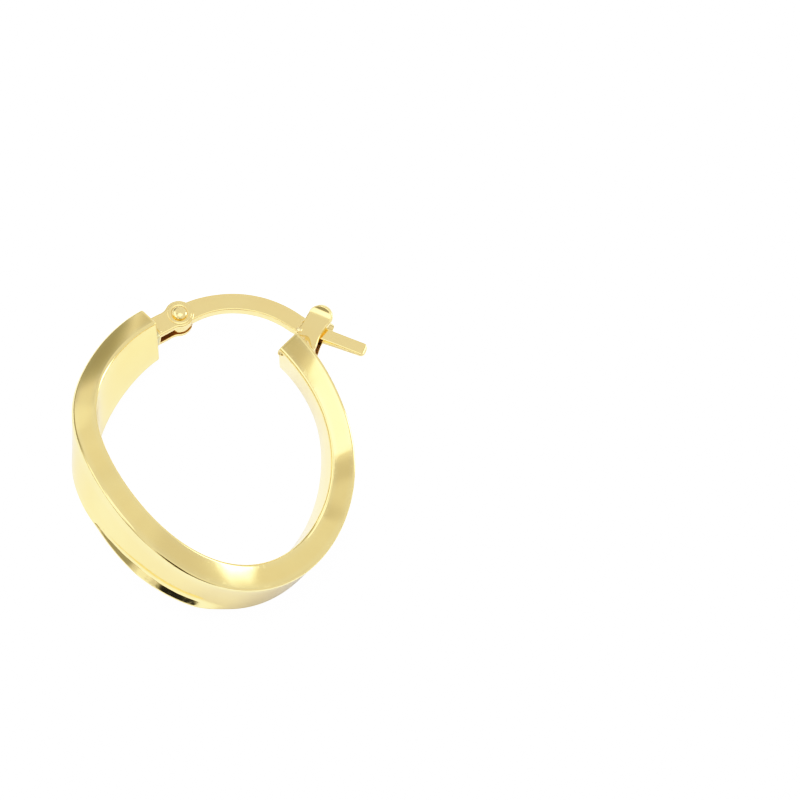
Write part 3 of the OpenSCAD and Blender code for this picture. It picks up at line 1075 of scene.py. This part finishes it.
# Along one side of the wire, round its tip, back along the other and round its eye
def wireOutline():
    count, tipCount, eyeCount = 90, 14, 44
    # the wire leaves the round eye where its sides meet it
    rootHalf = wireHalfWidth(earWire["rootFrom"])
    first = math.sqrt(earWire["eyeRadius"] ** 2 - rootHalf ** 2) + earWire["rootGap"]
    last = wireLength - earWire["tipRound"]
    spots = [mixed(first, last, i / count) for i in range(count + 1)]

    def edge(s, side):
        return wirePoint(s) + side * wireHalfWidth(s) * turned((1, 0), wireSlope(s) + 90)

    lower = [edge(s, -1) for s in spots]
    upper = [edge(s, 1) for s in reversed(spots)]
    tip = []
    blunt, square = earWire["tipBlunt"]
    for i in range(1, tipCount):
        angle = math.radians(-90 + 180 * i / tipCount)
        bluntX = earWire["tipRound"] * abs(math.cos(angle)) ** blunt
        bluntY = earWire["tipWidth"] / 2 * math.copysign(abs(math.sin(angle)) ** square, math.sin(angle))
        tip.append(wirePoint(last) + turned((bluntX, bluntY), -earWire["tailSlope"]))
    start, finish = upper[-1] - rivetPlace, lower[0] - rivetPlace
    startSlope, finishSlope = slopeOf(start), slopeOf(finish)
    if finishSlope < startSlope:
        finishSlope += 360
    eye = []
    for i in range(1, eyeCount):
        angle = mixed(startSlope, finishSlope, i / eyeCount)
        blend = eased(min(i, eyeCount - i) / 3)
        reach = mixed(start.length, earWire["eyeRadius"], blend)
        eye.append(rivetPlace + turned((reach, 0), angle))
    return lower + tip + upper + eye


wireShape = roundedPlate(
    wireOutline(), -earWire["depth"] / 2, earWire["depth"] / 2, earWire["edge"], 5,
    holes=[holeRing(rivetPlace, hinge["pinRadius"] + earWire["eyePlay"])],
)
# the back of the free end is thinned towards its tip
tailWay = turned((1, 0), -earWire["tailSlope"])
for v in wireShape.verts:
    beyond = (flat(v.co) - clipMiddle).dot(tailWay)
    if beyond > 0:
        behind = 0.5 - v.co.z / earWire["depth"]
        v.co.z += behind * beyond * math.tan(math.radians(earWire["tailTaper"]))
# and its tip is rounded off from both faces
tipEnd = wirePoint(wireLength)
for i in range(1, 9):
    inward = earWire["tipDome"] * (i / 8) ** 2
    cutThrough(wireShape, tipEnd - inward * tailWay, tailWay)
for v in wireShape.verts:
    fromTip = (tipEnd - flat(v.co)).dot(tailWay)
    if fromTip < earWire["tipDome"]:
        part = 1 - max(0.0, fromTip) / earWire["tipDome"]
        v.co.z *= max(earWire["tipThin"], math.sqrt(max(0.0, 1 - part * part)))
# its eye is cut off from the rest of its faces, to be painted with the same shade as the slot that it
# lies in
cutThrough(wireShape, wirePoint(earWire["darkEye"]), turned((1, 0), wireSlope(earWire["darkEye"])))
earWirePiece = linked("earWire", meshFrom("earWire", wireShape), gold["wireGold"])
smoothByAngle(earWirePiece.data)


def onEyeFace(at):
    inEye = (flat(at) - rivetPlace).length < earWire["eyeRadius"] + 10 * nearby
    return inEye and abs(at.z) > earWire["depth"] / 2 - 10 * nearby


# the eye's faces get the slot's painted shade
markSlotShade(earWirePiece.data, onEyeFace)
earWirePiece.data.transform(Matrix.Translation((0, 0, earWire["lies"])))
settle(earWirePiece, "ear_wire", "ear_wire")
print("stage: the ear wire")


# Both prongs at once: round at the top, waisted at one side, slanting at the foot
def prongOutline():
    half = catch["width"] / 2
    centre = catch["height"] - half
    top = []
    for i in range(31):
        angle = math.pi * i / 30
        top.append(Vector((half * math.cos(angle), centre + half * math.sin(angle))))
    foot = [(-half, catch["footBack"]), *catch["footSlant"], (half, catch["footFront"])]
    waist = []
    for i in range(1, 12):
        y = mixed(catch["waistFrom"], centre, i / 12)
        waist.append(Vector((half - catch["waist"] * math.sin(math.pi * i / 12) ** 2, y)))
    return top + [Vector(corner) for corner in foot] + waist


clipDepth = slotHalf + catch["wall"]
clipShape = roundedPlate(prongOutline(), -clipDepth, clipDepth, catch["plateEdge"])
catchClip = linked("catchClip", meshFrom("catchClip", clipShape), gold["forkGold"])
floorLevel = -earWire["width"] / 2 - catch["room"]
catchClip = cutAway(catchClip, boxCutter("clipSlot", (-3, floorLevel, -slotHalf), (3, 5, slotHalf)))
bendLine = catch["height"] - catch["lipHeight"]
bendSpan = catch["lipCurl"]
bendStartLevel = bendLine - bendSpan / 2
half = catch["width"] / 2
shape = bmesh.new()
shape.from_mesh(catchClip.data)
for i in range(catch["darkCuts"]):
    cutThrough(shape, (mixed(-half, half, (i + 1) / (catch["darkCuts"] + 1)), 0), (1, 0))
    cutThrough(shape, (0, mixed(floorLevel, bendStartLevel, (i + 0.5) / catch["darkCuts"])), (0, 1))
# painted shade on the slot's walls: full deep inside and towards its floor, fading towards its openings
depthShade = shape.verts.layers.float.new("slotRoughAndShade")
for v in shape.verts:
    if abs(v.co.z) < slotHalf + nearby and v.co.y > floorLevel - nearby:
        toOpening = min(half - abs(v.co.x), bendLine - v.co.y)
        below = eased((catch["darkBelow"] - v.co.y) / catch["darkBelowOver"])
        v[depthShade] = max(eased(toOpening / catch["darkReach"]), catch["darkBelowPart"] * below)
# the prongs' ends curl outwards
for i in range(catch["bendCuts"]):
    cutThrough(shape, (0, bendStartLevel + i * catch["bendCutSpan"] / catch["bendCuts"]), (0, 1))
full = math.radians(catch["lipFlare"])
radius = bendSpan / full
for v in shape.verts:
    rise = v.co.y - bendStartLevel
    if rise <= 0:
        continue
    turn = full * min(1.0, rise / bendSpan)
    out = abs(v.co.z) - slotHalf
    y = radius * math.sin(turn) + max(0.0, rise - bendSpan) * math.cos(turn) - out * math.sin(turn)
    z = radius * (1 - math.cos(turn)) + max(0.0, rise - bendSpan) * math.sin(turn) + out * math.cos(turn)
    v.co.y = bendStartLevel + y
    v.co.z = math.copysign(slotHalf + z, v.co.z)
shape.to_mesh(catchClip.data)
shape.free()
catchClip = softened(catchClip, catch["softEdge"])
catchClip.data.transform(clipPlace)
settle(catchClip, "hoop", "hoop")
print("stage: the catch clip")


# Solder in the corners. Each spot is a corner, the ways up one surface and out along the other, and how
# far the solder climbs and spreads there.
solder = {
    "hingeClimb": 0.38,
    "hingeSpread": 0.13,
    "hingeCorner": 0.12,      # radius of the corners that it runs round
    "hingeStand": 0.02,       # how far outside the neck it runs
    "fullness": 0.6,          # 0 is a hollow fillet, 1 a round one
    "clipClimb": 0.55,
    "clipSpread": 0.6,
    "clipFrom": 142.0,        # degrees round the tube, where it begins
    "clipShort": 0.4,         # and how far before the tube's end it stops
    "clipRun": 0.95,          # half of the width over which it swells and thins out
    "endBeadShort": 1.2,      # degrees before the tube's end
    "endBeadAt": (-0.98, 1.6),                  # outwards and forwards on the tube's section
    "endBead": (0.24, 0.28, 0.24),
    # place on the prong's front, turn in degrees, half sizes
    "clipBeads": {
        "footBead": ((-0.82, -0.72), 0.0, (0.24, 0.2, 0.1)),
        "sideBead": ((-0.88, 0.14), 65.0, (0.26, 0.06, 0.05)),
    },
    "forkBeads": {
        "forkBead": ((2.0, 0.3, 0.8), (0.09, 0.22, 0.07)),
    },
    "sink": 0.06,             # how deep its back lies in the metal
    "steps": 8,
}


def solderFillet(name, spots, closed, finish):
    made = bmesh.new()
    rows = []
    for corner, up, out, climb, spread in spots:
        high, wide = corner + up * climb, corner + out * spread
        ring = [corner - (up + out) * solder["sink"], wide - up * solder["sink"]]
        for i in range(solder["steps"] + 1):
            t = i / solder["steps"]
            full = corner + (up * climb + out * spread) * solder["fullness"]
            ring.append(wide * (1 - t) ** 2 + full * (2 * t * (1 - t)) + high * t**2)
        ring.append(high - out * solder["sink"])
        rows.append([made.verts.new(p) for p in ring])
    pairs = list(zip(rows, rows[1:]))
    if closed:
        pairs.append((rows[-1], rows[0]))
    else:
        made.faces.new(rows[0])
        made.faces.new(list(reversed(rows[-1])))
    for here, there in pairs:
        for i in range(len(here)):
            made.faces.new((here[i - 1], here[i], there[i], there[i - 1]))
    bmesh.ops.recalc_face_normals(made, faces=made.faces[:])
    done = linked(name, meshFrom(name, made), gold[finish])
    smoothByAngle(done.data, 70.0)
    settle(done, "hoop", "hoop")


# Round the foot of the fork, on the end of the tube, in uneven swells
def forkFootSpots():
    halfY, halfZ = hinge["neckWidth"] / 2 + solder["hingeStand"], forkDepth
    cornerRound = solder["hingeCorner"]
    upwards = forkPlace.to_3x3() @ Vector((-1, 0, 0))
    spots = []
    for corner in range(4):
        signY, signZ = ((1, 1), (-1, 1), (-1, -1), (1, -1))[corner]
        for i in range(7):
            angle = math.radians(90 * corner + 90 * i / 6)
            out = Vector((0, math.cos(angle), math.sin(angle)))
            here = Vector((
                hinge["reach"] - 0.01,
                signY * (halfY - cornerRound) + cornerRound * out.y - hinge["neckShift"],
                signZ * (halfZ - cornerRound) + cornerRound * out.z,
            ))
            swell = 1 + 0.35 * math.sin(3.1 * here.z + 2.2 * here.y) + 0.2 * math.sin(7.0 * here.y + 1.0)
            spots.append((forkPlace @ here, upwards, forkPlace.to_3x3() @ out,
                          solder["hingeClimb"] * swell, solder["hingeSpread"] * swell))
    return spots


solderFillet("hingeSolder", forkFootSpots(), True, "seamGold")


# Along the foot of a prong, where it leaves the tube's outer wall
def prongFootSpots(side):
    toClip = clipPlace.inverted()
    up = clipPlace.to_3x3() @ Vector((0, 1, 0))
    run = solder["clipRun"]
    spots = []
    for i in range(25):
        angle = mixed(solder["clipFrom"], tube["catchEnd"] - solder["clipShort"], i / 24)
        # halving the way finds where the wall meets the prong's face
        low, high = -tube["depth"] / 2, tube["depth"] / 2
        for halving in range(30):
            forwards = (low + high) / 2
            if (toClip @ tubePlace(angle, 1.0, forwards)).z < side * clipDepth:
                low = forwards
            else:
                high = forwards
        corner = tubePlace(angle, 1.0, low)
        out = (tubePlace(angle, 1.0, low + side * 0.1) - corner).normalized()
        inClip = (toClip @ corner).x
        part = math.sin(math.pi * min(1.0, max(0.02, (inClip + run) / (2 * run))))
        wave = 1 + 0.12 * math.sin(5.0 * inClip + side)
        spots.append((corner, up, out, solder["clipClimb"] * part * wave + 0.02,
                      solder["clipSpread"] * part * wave + 0.02))
    return spots


solderFillet("frontClipSolder", prongFootSpots(1), False, "solderGold")
solderFillet("backClipSolder", prongFootSpots(-1), False, "solderGold")


# A bead that ran to a corner, uneven as solder sets
def solderBead(name, centre, turn, sizes):
    halfTurn = [math.pi * i / 14 for i in range(15)]
    made = revolved([(math.sin(t), math.cos(t)) for t in halfTurn], 24)
    for v in made.verts:
        ripple = 1 + 0.12 * math.sin(3.0 * v.co.x + 2.0) * math.sin(4.0 * v.co.y + 1.0)
        size = Vector((v.co.x * sizes[0], v.co.y * sizes[1], v.co.z * sizes[2]))
        v.co = centre + turn @ (size * ripple)
    done = linked(name, meshFrom(name, made), gold["solderGold"])
    done.data.shade_smooth()
    settle(done, "hoop", "hoop")


endSpot = tubePlace(tube["catchEnd"] - solder["endBeadShort"], *solder["endBeadAt"])
solderBead("endBead", endSpot, Matrix.Identity(3), solder["endBead"])
for name, (place, lean, sizes) in solder["clipBeads"].items():
    turn = clipPlace.to_3x3() @ Matrix.Rotation(math.radians(lean), 3, "Z")
    solderBead(name, clipPlace @ Vector((*place, clipDepth)), turn, sizes)
for name, (place, sizes) in solder["forkBeads"].items():
    solderBead(name, forkPlace @ Vector(place), forkPlace.to_3x3(), sizes)
print("stage: solder")
